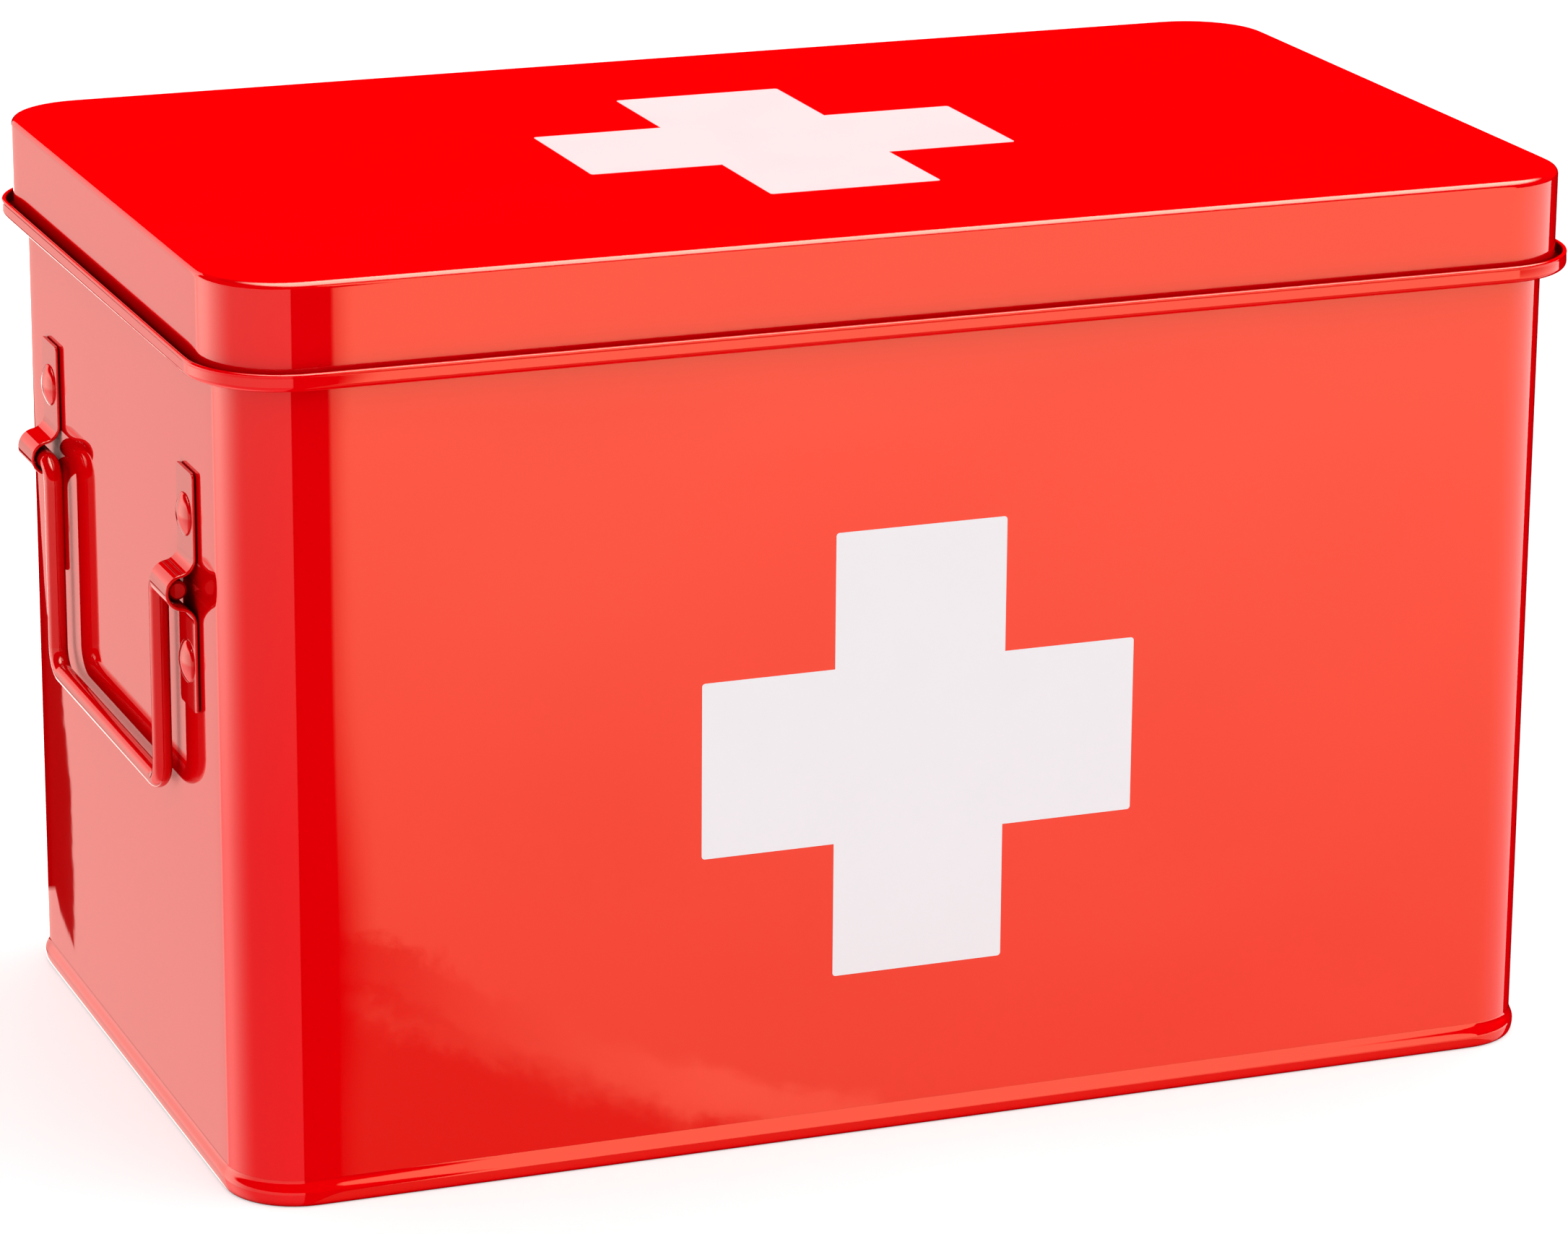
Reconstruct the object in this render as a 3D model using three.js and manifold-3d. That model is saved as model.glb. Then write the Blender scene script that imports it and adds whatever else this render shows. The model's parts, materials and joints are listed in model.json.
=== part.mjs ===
// First-aid tin: a pressed sheet-steel box with a lift-off lid and a hanging wire
// handle on each short side. Millimetres, +Z up, origin on the ground under the
// middle of the box. The cross on the front wall faces -Y and the handles are on -X and +X.
import * as THREE from 'three';
import { mergeVertices } from 'three/addons/utils/BufferGeometryUtils.js';
import Module from 'manifold-3d';

const wasm = await Module();
wasm.setup();

// ---- driving dimensions -------------------------------------------------------------

const GAP = 0.3;                 // left between pieces that touch
const SHEET = 0.6;               // steel sheet of the wall, bottom and lid

const box = {
  halfX: 150.5,                  // outside of the wall
  halfY: 89,
  cornerR: 15,                   // vertical corners of the wall, outside
  cornerSteps: 8,                // facets in a quarter turn
};

const lid = {
  topZ: 199.8,
  skirtOut: 3,                   // outside of the skirt, beyond the wall
  edgeR: 1.5,                    // rounding between top and skirt
  beadBottomZ: 177.8,
  beadTopZ: 181.6,
  beadOut: 2.6,                  // outside of the curled lip, beyond the skirt
  lipBendR: 1.2,                 // outside of the two bends under the lip
};

const rim = {
  curlR: 0.85,                   // middle line of the curl along the wall's top edge
  curlEnd: -60,                  // degrees, where the curl stops short of the wall
};

const foot = {
  seamOut: 0.9,                  // outside of the bottom seam, beyond the wall
  seamTopZ: 5.4,
  panelZ: 2.6,                   // underside of the raised bottom panel
  bendR: 0.55,                   // bends of the pan, inside the seam
};

const strap = {
  y: 55.4,                       // middle of each bracket, either side of the handle
  width: 12.4,
  z: 127.5,                      // middle of the strap
  halfLength: 25.85,
  thick: 0.7,
  cornerR: 1,
  loopUp: 0.7,                   // middle of the loop, above the middle of the strap
  loopOut: 3.1,                  // middle of the loop, out from the wall
  loopR: 3.3,                    // inside of the loop
  neckR: 3.2,                    // outer fillet between the leg and the loop
  rivetPitch: 15.95,             // rivets above and below the middle of the strap
};

const rivet = {
  headR: 4.7,
  headHigh: 1.3,
  shankR: 1.8,
  holeR: 2.1,
  tailR: 3.2,
  tailThick: 1.0,
};

const wire = {
  radius: 2.1,
  out: 3.7,                      // middle of the wire, out from the wall
  pivotZ: 127.9,                 // a little below the loop's middle, as it hangs
  armY: 43.5,
  barZ: 81,
  topBendR: 4.2,                 // middle line of the bends
  barBendR: 5.3,
  endInset: 3,                   // the wire ends inside its bracket
  sides: 12,
};

const cross = {
  arm: 39,
  span: 99,
  thick: 0.15,
  lift: 0.05,                    // print film above the enamel
  frontZ: 86,
};

// ---- materials ----------------------------------------------------------------------

function enamel(name, color, roughness) {
  return new THREE.MeshStandardMaterial({ name, color, roughness, metalness: 0 });
}

const RED = 0xc8000a;
const HARDWARE_RED = 0xbe0a10;
const WHITE = 0xf0eeee;

// ---- solids -------------------------------------------------------------------------

const wrap = (geometry) => {
  geometry.deleteAttribute('normal');
  geometry.deleteAttribute('uv');
  return mergeVertices(geometry, 1e-4);
};

// Signed volume of a closed mesh, negative when its faces point inwards.
function volume(geometry) {
  const p = geometry.attributes.position;
  const index = geometry.index;
  const [a, b, c] = [new THREE.Vector3(), new THREE.Vector3(), new THREE.Vector3()];
  let sum = 0;
  for (let i = 0; i < index.count; i += 3) {
    a.fromBufferAttribute(p, index.getX(i));
    b.fromBufferAttribute(p, index.getX(i + 1));
    c.fromBufferAttribute(p, index.getX(i + 2));
    sum += a.dot(b.cross(c)) / 6;
  }
  return sum;
}

// Merges shared corners, drops triangles that have shrunk to a line, and turns the
// faces outwards.
function closed(raw) {
  const geometry = wrap(raw);
  const kept = [];
  for (let i = 0; i < geometry.index.count; i += 3) {
    const [a, b, c] = [0, 1, 2].map((k) => geometry.index.getX(i + k));
    if (a !== b && b !== c && c !== a) kept.push(a, b, c);
  }
  geometry.setIndex(kept);
  if (volume(geometry) < 0) {
    for (let i = 0; i < kept.length; i += 3) {
      [kept[i + 1], kept[i + 2]] = [kept[i + 2], kept[i + 1]];
    }
    geometry.setIndex(kept);
  }
  return geometry;
}

function toManifold(geometry) {
  return new wasm.Manifold(new wasm.Mesh({
    numProp: 3,
    vertProperties: new Float32Array(geometry.attributes.position.array),
    triVerts: new Uint32Array(geometry.index.array),
  }));
}

function fromManifold(solid) {
  const mesh = solid.getMesh();
  const geometry = new THREE.BufferGeometry();
  geometry.setAttribute('position', new THREE.BufferAttribute(mesh.vertProperties, 3));
  geometry.setIndex(new THREE.BufferAttribute(mesh.triVerts, 1));
  return geometry;
}

function cut(geometry, tools) {
  let solid = toManifold(geometry);
  for (const tool of tools) solid = solid.subtract(toManifold(tool));
  return fromManifold(solid);
}

// Points of an arc about (cx, cy), angles in degrees, both ends included.
function arc(cx, cy, r, from, to, steps) {
  const points = [];
  for (let i = 0; i <= steps; i += 1) {
    const a = THREE.MathUtils.degToRad(from + ((to - from) * i) / steps);
    points.push([cx + r * Math.cos(a), cy + r * Math.sin(a)]);
  }
  return points;
}

// A closed section carried round the rounded rectangle of the box. Each point is
// [out, z], with out measured from the outside of the wall. A lathe makes the four
// corners at once, about their own centre; the quarters are then moved apart, which
// stretches the facets between them into the straight walls. A point marked CENTRE
// stays on the middle of the box, so that the section closes over the box.
const CENTRE = -box.cornerR;
const cornerX = box.halfX - box.cornerR;
const cornerY = box.halfY - box.cornerR;

function aroundBox(section) {
  const segments = 4 * box.cornerSteps;
  const stretch = 1 / Math.cos(Math.PI / segments);
  const points = section.map(([out, z]) => new THREE.Vector2((box.cornerR + out) * stretch, z));
  const geometry = new THREE.LatheGeometry(points, segments, Math.PI / segments);
  geometry.rotateX(Math.PI / 2);
  const p = geometry.attributes.position;
  for (let i = 0; i < p.count; i += 1) {
    const [x, y] = [p.getX(i), p.getY(i)];
    if (Math.hypot(x, y) < 1e-6) continue;
    p.setXY(i, x + Math.sign(x) * cornerX, y + Math.sign(y) * cornerY);
  }
  return closed(geometry);
}

// A turned solid standing on +X: each point of its outline is [out, radius].
function turned(outline, segments) {
  const points = outline.map(([out, r]) => new THREE.Vector2(r, out));
  const geometry = new THREE.LatheGeometry(points, segments);
  geometry.rotateZ(-Math.PI / 2);
  return closed(geometry);
}

function cylinderX(radius, x0, x1, y, z, segments) {
  const geometry = new THREE.CylinderGeometry(radius, radius, x1 - x0, segments);
  geometry.rotateZ(Math.PI / 2);
  geometry.translate((x0 + x1) / 2, y, z);
  return closed(geometry);
}

// ---- the box ------------------------------------------------------------------------

// The four rivets of one side, as [y, z].
function rivetPlaces() {
  return [-1, 1].flatMap((s) => [-1, 1].map((t) => [s * strap.y, strap.z + t * strap.rivetPitch]));
}

// The wall is one band of sheet, with its top edge curled outwards.
function bodyWall() {
  const bottomZ = SHEET + GAP;
  const topZ = lid.topZ - SHEET - GAP;
  const curlZ = topZ - rim.curlR - SHEET / 2;
  const curlX = rim.curlR - SHEET / 2;
  const section = [
    [-SHEET, bottomZ],
    [0, bottomZ],
    ...arc(curlX, curlZ, rim.curlR - SHEET / 2, 180, rim.curlEnd, 8),
    ...arc(curlX, curlZ, rim.curlR + SHEET / 2, rim.curlEnd, 180, 10),
    [-SHEET, bottomZ],
  ];
  const holes = [];
  for (const [y, z] of rivetPlaces()) {
    const [inner, outer] = [box.halfX - 2 * SHEET, box.halfX + SHEET];
    holes.push(cylinderX(rivet.holeR, inner, outer, y, z, 16));
    holes.push(cylinderX(rivet.holeR, -outer, -inner, y, z, 16));
  }
  return cut(aroundBox(section), holes);
}

// The bottom is a shallow pan: its edge turns down inside the wall, under it and up
// the outside, where it swells into the bead round the foot.
function bottomPanel() {
  const innerOut = -SHEET - GAP;
  const r = foot.bendR;
  const bead = arc(0, 0, 1, -90, 90, 10).map(([c, s]) => (
    [GAP + (foot.seamOut - GAP) * c, (foot.seamTopZ / 2) * (1 + s)]));
  const section = [
    [CENTRE, foot.panelZ],
    [innerOut - SHEET - r, foot.panelZ],
    ...arc(innerOut - SHEET - r, foot.panelZ - r, r, 90, 0, 2).slice(1),
    [innerOut - SHEET, r],
    ...arc(innerOut - SHEET + r, r, r, 180, 270, 3),
    ...bead,
    [GAP, SHEET],
    [innerOut, SHEET],
    [innerOut, foot.panelZ + SHEET],
    [CENTRE, foot.panelZ + SHEET],
  ];
  return aroundBox(section);
}

// The lid is one pressing. Its skirt ends in a lip that is curled out and up, which
// leaves a narrow open channel between the skirt and the lip.
function lidShell() {
  const outside = lid.skirtOut;
  const inside = outside - SHEET;
  const lipOut = outside + lid.beadOut;
  const capR = SHEET / 2;
  const r = lid.lipBendR;
  const bendZ = lid.beadBottomZ + r;
  const section = [
    [CENTRE, lid.topZ],
    ...arc(outside - lid.edgeR, lid.topZ - lid.edgeR, lid.edgeR, 90, 0, 4),
    ...arc(inside + r, bendZ, r - SHEET, 180, 270, 3),
    ...arc(lipOut - r, bendZ, r - SHEET, 270, 360, 3),
    ...arc(lipOut - capR, lid.beadTopZ - capR, capR, 180, 0, 6),
    ...arc(lipOut - r, bendZ, r, 360, 270, 4),
    ...arc(inside + r, bendZ, r, 270, 180, 4),
    ...arc(inside - (lid.edgeR - SHEET), lid.topZ - lid.edgeR, lid.edgeR - SHEET, 0, 90, 2),
    [CENTRE, lid.topZ - SHEET],
  ];
  return aroundBox(section);
}

// ---- handle hardware, made for the +X side --------------------------------------------

// A flat strap with a loop pressed out of its middle. The outline is drawn in the
// plane of [out from the wall, up from the middle] and is carried along the width.
function bracket() {
  const inner = GAP;
  const outer = GAP + strap.thick;
  const loopOuter = strap.loopR + strap.thick;
  const neckX = outer + strap.neckR;
  const reach = loopOuter + strap.neckR;
  const up = strap.loopUp;
  const neckUp = Math.sqrt(reach ** 2 - (strap.loopOut - neckX) ** 2);
  const turn = THREE.MathUtils.radToDeg(Math.atan2(neckUp, neckX - strap.loopOut));
  const neckInner = strap.neckR + strap.thick;
  const outline = [
    [inner, strap.halfLength],
    ...arc(neckX, up + neckUp, neckInner, 180, turn + 180, 6),
    ...arc(strap.loopOut, up, strap.loopR, turn, -turn, 14),
    ...arc(neckX, up - neckUp, neckInner, 180 - turn, 180, 6),
    [inner, -strap.halfLength],
    [outer, -strap.halfLength],
    ...arc(neckX, up - neckUp, strap.neckR, 180, 180 - turn, 6),
    ...arc(strap.loopOut, up, loopOuter, -turn, turn, 14),
    ...arc(neckX, up + neckUp, strap.neckR, turn + 180, 180, 6),
    [outer, strap.halfLength],
  ];
  const shape = new THREE.Shape(outline.map(([x, z]) => new THREE.Vector2(x, z)));
  const band = new THREE.ExtrudeGeometry(shape, { depth: strap.width, bevelEnabled: false });
  band.translate(0, 0, -strap.width / 2);
  band.rotateX(Math.PI / 2);

  const plan = roundedRectangle(strap.width, 2 * strap.halfLength, strap.cornerR);
  const reachX = strap.loopOut + loopOuter + 1;
  const blank = new THREE.ExtrudeGeometry(plan, {
    depth: reachX, bevelEnabled: false, curveSegments: 4,
  });
  blank.rotateX(Math.PI / 2);
  blank.rotateZ(Math.PI / 2);

  const pressed = toManifold(closed(band)).intersect(toManifold(closed(blank)));
  const holes = [-1, 1].map((t) => (
    cylinderX(rivet.holeR, -SHEET, outer + 1, 0, t * strap.rivetPitch, 14)));
  const geometry = cut(fromManifold(pressed), holes);
  geometry.translate(box.halfX, 0, strap.z);
  return geometry;
}

function roundedRectangle(width, height, r) {
  const [w, h] = [width / 2, height / 2];
  const shape = new THREE.Shape();
  shape.moveTo(-w + r, -h);
  shape.lineTo(w - r, -h);
  shape.absarc(w - r, -h + r, r, -Math.PI / 2, 0);
  shape.lineTo(w, h - r);
  shape.absarc(w - r, h - r, r, 0, Math.PI / 2);
  shape.lineTo(-w + r, h);
  shape.absarc(-w + r, h - r, r, Math.PI / 2, Math.PI);
  shape.lineTo(-w, -h + r);
  shape.absarc(-w + r, -h + r, r, Math.PI, 1.5 * Math.PI);
  return shape;
}

// A rivet through the strap and the wall, with a low domed head outside and a flat
// closed tail inside.
function rivetSolid() {
  const headBase = 2 * GAP + strap.thick;
  const apex = headBase + rivet.headHigh;
  const tailTop = -SHEET - GAP;
  const domeR = (rivet.headR ** 2 + rivet.headHigh ** 2) / (2 * rivet.headHigh);
  const half = THREE.MathUtils.radToDeg(Math.asin(rivet.headR / domeR));
  const outline = [
    [tailTop - rivet.tailThick, 0],
    [tailTop - rivet.tailThick, rivet.tailR],
    [tailTop, rivet.tailR],
    [tailTop, rivet.shankR],
    [headBase, rivet.shankR],
    ...arc(apex - domeR, 0, domeR, half, 0, 4),
  ];
  return turned(outline, 14);
}

// A path given by its stations, so that an extrusion puts one section on each.
class StationPath extends THREE.Curve {
  constructor(stations) {
    super();
    this.stations = stations;
  }

  at(t) {
    return this.stations[Math.round(t * (this.stations.length - 1))];
  }

  getPoint(t, target = new THREE.Vector3()) {
    return target.copy(this.at(t).point);
  }

  getPointAt(u, target) {
    return this.getPoint(u, target);
  }

  getTangent(t, target = new THREE.Vector3()) {
    return target.copy(this.at(t).tangent);
  }

  getTangentAt(u, target) {
    return this.getTangent(u, target);
  }
}

// The handle is one round wire: two arms and a bar, with the ends turned outwards
// through the loops of the brackets.
function handle() {
  const endY = strap.y + strap.width / 2 - wire.endInset;
  const armY = wire.armY;
  const { topBendR, barBendR } = wire;
  const half = [];
  const station = (y, z, ty, tz) => half.push([y, z, ty, tz]);
  const bend = (cy, cz, r, from, to, steps) => {
    const way = Math.sign(to - from);
    for (let i = 0; i <= steps; i += 1) {
      const a = THREE.MathUtils.degToRad(from + ((to - from) * i) / steps);
      const [c, s] = [Math.cos(a), Math.sin(a)];
      station(cy + r * c, cz + r * s, -way * s, way * c);
    }
  };
  station(-endY, wire.pivotZ, 1, 0);
  bend(-armY - topBendR, wire.pivotZ - topBendR, topBendR, 90, 0, 5);
  bend(-armY + barBendR, wire.barZ + barBendR, barBendR, 180, 270, 6);
  const mirrored = half.map(([y, z, ty, tz]) => [-y, z, ty, -tz]).reverse();
  const stations = [...half, ...mirrored].map(([y, z, ty, tz]) => ({
    point: new THREE.Vector3(box.halfX + wire.out, y, z),
    tangent: new THREE.Vector3(0, ty, tz),
  }));
  const section = new THREE.Shape(
    arc(0, 0, wire.radius, 0, 360, wire.sides).slice(1).map(([x, y]) => new THREE.Vector2(x, y)),
  );
  return closed(new THREE.ExtrudeGeometry(section, {
    steps: stations.length - 1,
    extrudePath: new StationPath(stations),
  }));
}

// ---- printed crosses ------------------------------------------------------------------

// Lies in the XY plane, facing +Z, its base at z = 0.
function printedCross() {
  const [a, s] = [cross.arm / 2, cross.span / 2];
  const quarter = [[s, -a], [s, a], [a, a]];
  const points = [0, 1, 2, 3].flatMap((turn) => quarter.map(([x, y]) => (
    new THREE.Vector2(x, y).rotateAround(new THREE.Vector2(), (turn * Math.PI) / 2))));
  return new THREE.ExtrudeGeometry(new THREE.Shape(points), {
    depth: cross.thick, bevelEnabled: false,
  });
}

function frontCross() {
  const geometry = printedCross();
  geometry.rotateX(Math.PI / 2);
  geometry.translate(0, -box.halfY - cross.lift, cross.frontZ);
  return closed(geometry);
}

function lidCross() {
  const geometry = printedCross();
  geometry.translate(0, 0, lid.topZ + cross.lift);
  return closed(geometry);
}

// ---- assembly -------------------------------------------------------------------------

const tin = new THREE.Group();

function add(parent, name, geometry, material) {
  const mesh = new THREE.Mesh(geometry, material);
  mesh.name = name;
  parent.add(mesh);
  return mesh;
}

add(tin, 'body_wall', bodyWall(), enamel('red_enamel', RED, 0.12));
add(tin, 'bottom_panel', bottomPanel(), enamel('red_enamel', RED, 0.12));
add(tin, 'lid', lidShell(), enamel('red_enamel', RED, 0.12));
add(tin, 'front_cross', frontCross(), enamel('white_print', WHITE, 0.3));
add(tin, 'lid_cross', lidCross(), enamel('white_print', WHITE, 0.3));

const bracketShape = bracket();
const rivetShape = rivetSolid();
const handleShape = handle();

// Half a turn about +Z carries the +X hardware to the -X side, and its front to the rear.
for (const [side, turn] of [['right', 0], ['left', Math.PI]]) {
  const group = new THREE.Group();
  group.rotation.z = turn;
  tin.add(group);
  for (const end of ['front', 'rear']) {
    const away = (end === 'front' ? -1 : 1) * (side === 'right' ? 1 : -1);
    const piece = add(group, `bracket_${side}_${end}`, bracketShape,
      enamel('red_hardware', HARDWARE_RED, 0.2));
    piece.position.y = away * strap.y;
    for (const [level, t] of [['upper', 1], ['lower', -1]]) {
      const pin = add(group, `rivet_${side}_${end}_${level}`, rivetShape,
        enamel('red_hardware', HARDWARE_RED, 0.2));
      pin.position.set(box.halfX, away * strap.y, strap.z + t * strap.rivetPitch);
    }
  }
  add(group, `handle_${side}`, handleShape, enamel('red_hardware', HARDWARE_RED, 0.2));
}

export default tin;
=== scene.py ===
# The looks of the first-aid tin: fine sheet-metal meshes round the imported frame, enamel
# materials, a pale floor, soft studio light and the camera.
import json
import math

import bmesh
import bpy
from mathutils import Matrix, Vector


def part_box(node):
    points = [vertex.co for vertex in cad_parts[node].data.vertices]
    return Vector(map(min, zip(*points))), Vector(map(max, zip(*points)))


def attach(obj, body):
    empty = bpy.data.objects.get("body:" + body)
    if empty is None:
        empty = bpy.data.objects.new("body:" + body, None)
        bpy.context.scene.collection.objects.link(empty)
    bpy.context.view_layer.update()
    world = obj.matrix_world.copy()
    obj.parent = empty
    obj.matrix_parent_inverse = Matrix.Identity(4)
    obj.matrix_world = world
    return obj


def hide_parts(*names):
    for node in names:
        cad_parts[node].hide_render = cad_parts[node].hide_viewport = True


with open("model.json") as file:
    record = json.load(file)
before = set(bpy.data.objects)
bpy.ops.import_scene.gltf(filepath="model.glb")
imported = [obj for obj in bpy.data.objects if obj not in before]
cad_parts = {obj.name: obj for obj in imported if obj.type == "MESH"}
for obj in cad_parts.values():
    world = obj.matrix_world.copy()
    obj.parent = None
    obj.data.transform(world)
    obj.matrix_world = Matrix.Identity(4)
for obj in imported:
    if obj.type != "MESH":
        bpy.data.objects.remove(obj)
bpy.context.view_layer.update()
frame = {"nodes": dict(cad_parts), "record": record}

# ---- sizes, in millimetres unless a name says otherwise ---------------------------------

MM = 0.001
SHEET = 0.6                # steel sheet of the wall, bottom and lid
FIT_GAP = 0.3              # from the wall to the straps outside it and the pan inside it
CORNER_R = 15.0            # vertical corners of the wall, outside
CORNER_STEPS = 24
GRID = 5.0                 # spacing of the mesh over the flat sheets
MERGE = 1e-4               # points nearer than this are one
SHARP_ANGLE = math.radians(38)
FIRST_INNER = 1 - CORNER_R    # where the flat sheets' inner rings start, beyond the wall
EASE = 6.0                 # length over which a flat side begins to turn into its corner
EASE_TURN = math.radians(2.0)
WAVE = 0.07                # height of the slow waves in the long walls
SIDE_WAVE_SHARE = 0.06     # share of that in the short walls, which the brackets hold true
WAVE_SIDE_FADE = 45        # length over which the waves die away towards the corners
WAVE_LOW_Z = 8             # height where they start, and over how much they grow
WAVE_LOW_FADE = 30
WAVE_HIGH_Z = 185          # height where they end, and over how much they shrink
WAVE_HIGH_FADE = 35
DIP = 0.05                 # height of the waves in the lid's top
FILM = 0.05                # thickness of the printed crosses above the enamel

SKIRT_OUT = 3.0            # lid skirt, beyond the wall
LIP_OUT = 5.6              # lid lip, beyond the wall
LID_EDGE_R = 1.5
LIP_BEND_R = 1.2           # outside of the two bends under the lip
LIP_TOP_Z = 181.6
LIP_ROLL_R = 0.5           # rolled top edge of the lip
LIP_ROLL_START = 218       # where the roll starts and ends, in degrees
LIP_ROLL_END = -30
SEAM_OUT = 0.9             # foot bead, beyond the wall
BEAD_RISE = 3.0            # height over which the bead dies away into the wall
BEAD_EDGE = 0.02           # how far it stands out where it ends
PAN_BEND_R = 0.55          # bends of the pan, inside the foot
PANEL_Z = 2.6              # underside of the raised panel
CURL_R = 0.85              # curl along the top edge of the wall, hidden by the lid
CURL_END = -60             # degrees, where the curl stops short of the wall

STRAP_THICK = 0.7
STRAP_EDGE = 0.3           # rounding of its long edges
STRAP_CORNER = 1.0         # and of its four corners
LOOP_UP = 0.7              # middle of the bracket's loop, above the middle of the strap
LOOP_OUT = 3.1
LOOP_R = 3.3               # inside of the loop
NECK_R = 3.2               # the bends that lead into it, on the strap's outer face
HEAD_HIGH = 1.6            # the rivet's head, above the strap
HEAD_RIM = 0.25            # upright edge round the domed head
HEAD_EASE = 0.15           # the dome starts this far inside it
SHANK_R = 1.8
TAIL_R = 3.2               # the rivet's tail, inside the box
TAIL_THICK = 1.3
TAIL_EDGE = 0.3
WIRE_R = 2.1
WIRE_SIDES = 28
WIRE_END = 0.5             # bevel round the ends of the wire
TOP_BEND_R = 4.2           # bends of the handle, at the middle of the wire
BAR_BEND_R = 5.3
CROSS_ROUND = 0.7          # the print's outer corners
CROSS_ARM = 39 / 99        # width of an arm, as a share of the whole cross
PLACES = 5                 # decimal places kept of its corners, so that they sort alike


def size_of(node):
    """Lowest and highest corner of a CAD node, in millimetres."""
    low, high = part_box(node)
    return low / MM, high / MM


pan_high = size_of("bottom_panel")[1]
lid_low, lid_high = size_of("lid")
wall_low, wall_high = size_of("body_wall")
HALF_X = pan_high.x - SEAM_OUT
HALF_Y = pan_high.y - SEAM_OUT


# ---- mesh building ----------------------------------------------------------------------

def new_object(name, bm):
    """Closes, cleans and links a mesh whose vertices are in millimetres."""
    bmesh.ops.remove_doubles(bm, verts=bm.verts, dist=MERGE)
    bmesh.ops.dissolve_degenerate(bm, dist=MERGE / 10, edges=bm.edges)
    bmesh.ops.recalc_face_normals(bm, faces=bm.faces)
    bm.transform(Matrix.Scale(MM, 4))
    mesh = bpy.data.meshes.new(name)
    bm.to_mesh(mesh)
    bm.free()
    mesh.shade_smooth()
    mesh.set_sharp_from_angle(angle=SHARP_ANGLE)
    piece = bpy.data.objects.new(name, mesh)
    bpy.context.scene.collection.objects.link(piece)
    weighted = piece.modifiers.new("weighted_normals", "WEIGHTED_NORMAL")
    weighted.keep_sharp = True
    return piece


def loft(name, rings, joined=False, capped=False):
    """A mesh through rings that have the same number of points. Joined, the last ring
    meets the first; capped, the two end rings are filled."""
    bm = bmesh.new()
    rows = [[bm.verts.new(point) for point in ring] for ring in rings]
    pairs = list(zip(rows, rows[1:] + rows[:1]))
    if not joined:
        pairs.pop()
    for row, after in pairs:
        for i in range(len(row)):
            j = (i + 1) % len(row)
            bm.faces.new((row[i], row[j], after[j], after[i]))
    if capped:
        bm.faces.new(rows[0])
        bm.faces.new(rows[-1])
    return new_object(name, bm)


def arc(cx, cz, radius, start, end, steps):
    """Points of an arc, angles in degrees, both ends included."""
    points = []
    for i in range(steps + 1):
        a = math.radians(start + (end - start) * i / steps)
        points.append((cx + radius * math.cos(a), cz + radius * math.sin(a)))
    return points


def line(start, end, steps):
    """Points between start and end, both left out."""
    return [tuple(a + (b - a) * i / steps for a, b in zip(start, end)) for i in range(1, steps)]


# ---- the outline of the box -------------------------------------------------------------

def smooth(value):
    """Eases from 0 to 1 as the value goes from 0 to 1."""
    t = min(max(value, 0.0), 1.0)
    return t * t * (3 - 2 * t)


def side_points(half, reach):
    """Points of half a side, from its middle to the corner: (along, out, turn)."""
    coarse = max(1, round((reach - EASE) / GRID))
    places = [(reach - EASE) * i / coarse for i in range(coarse + 1)]
    places += [reach - EASE * (1 - i / 4) for i in range(1, 5)]
    points = []
    for along in places:
        share = max(0.0, 1 - (reach - along) / EASE)
        inset = EASE_TURN * EASE / 3 * share ** 3
        points.append((along, half - inset, EASE_TURN * share ** 2))
    return points


def quarter_outline():
    """The wall's outline from the middle of +X to the middle of +Y: (x, y, nx, ny)."""
    reach_x = HALF_X - CORNER_R
    reach_y = HALF_Y - CORNER_R
    quarter = []
    for along, out, turn in side_points(HALF_X, reach_y):
        quarter.append((out, along, math.cos(turn), math.sin(turn)))
    inset = EASE_TURN * EASE / 3
    radius = (CORNER_R - inset) / (math.cos(EASE_TURN) - math.sin(EASE_TURN))
    shift = -radius * math.sin(EASE_TURN)
    for i in range(1, CORNER_STEPS):
        a = EASE_TURN + (math.pi / 2 - 2 * EASE_TURN) * i / CORNER_STEPS
        nx, ny = math.cos(a), math.sin(a)
        quarter.append((reach_x + shift + radius * nx, reach_y + shift + radius * ny, nx, ny))
    for along, out, turn in reversed(side_points(HALF_Y, reach_x)):
        quarter.append((along, out, math.sin(turn), math.cos(turn)))
    return quarter


def whole_outline():
    """The four quarters in one loop, mirrored from the first."""
    first = quarter_outline()
    second = [(-x, y, -nx, ny) for x, y, nx, ny in reversed(first)][1:]
    third = [(-x, -y, -nx, -ny) for x, y, nx, ny in first][1:]
    fourth = [(x, -y, nx, -ny) for x, y, nx, ny in reversed(first)][1:-1]
    return first + second + third + fourth


OUTLINE = whole_outline()


def wall_wave(x, y, z, nx, ny):
    """How far a wall's sheet stands out of true at a place, by slow waves that differ from
    wall to wall and die away towards its four edges."""
    if abs(ny) > abs(nx):
        along, reach, share = x, HALF_X - CORNER_R, 1.0
        side = 1.0 if ny > 0 else 2.2
    else:
        along, reach, share = y, HALF_Y - CORNER_R, SIDE_WAVE_SHARE
        side = 3.1 if nx > 0 else 4.7
    ends = smooth((reach - abs(along)) / WAVE_SIDE_FADE)
    ends *= smooth((z - WAVE_LOW_Z) / WAVE_LOW_FADE)
    ends *= smooth((WAVE_HIGH_Z - z) / WAVE_HIGH_FADE)
    slow = math.sin(along / 21 + side) * math.sin(z / 16 + 2 * side)
    slower = math.sin(along / 33 - z / 40 + 3 * side)
    return WAVE * share * ends * (0.6 * slow + 0.7 * slower)


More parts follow.
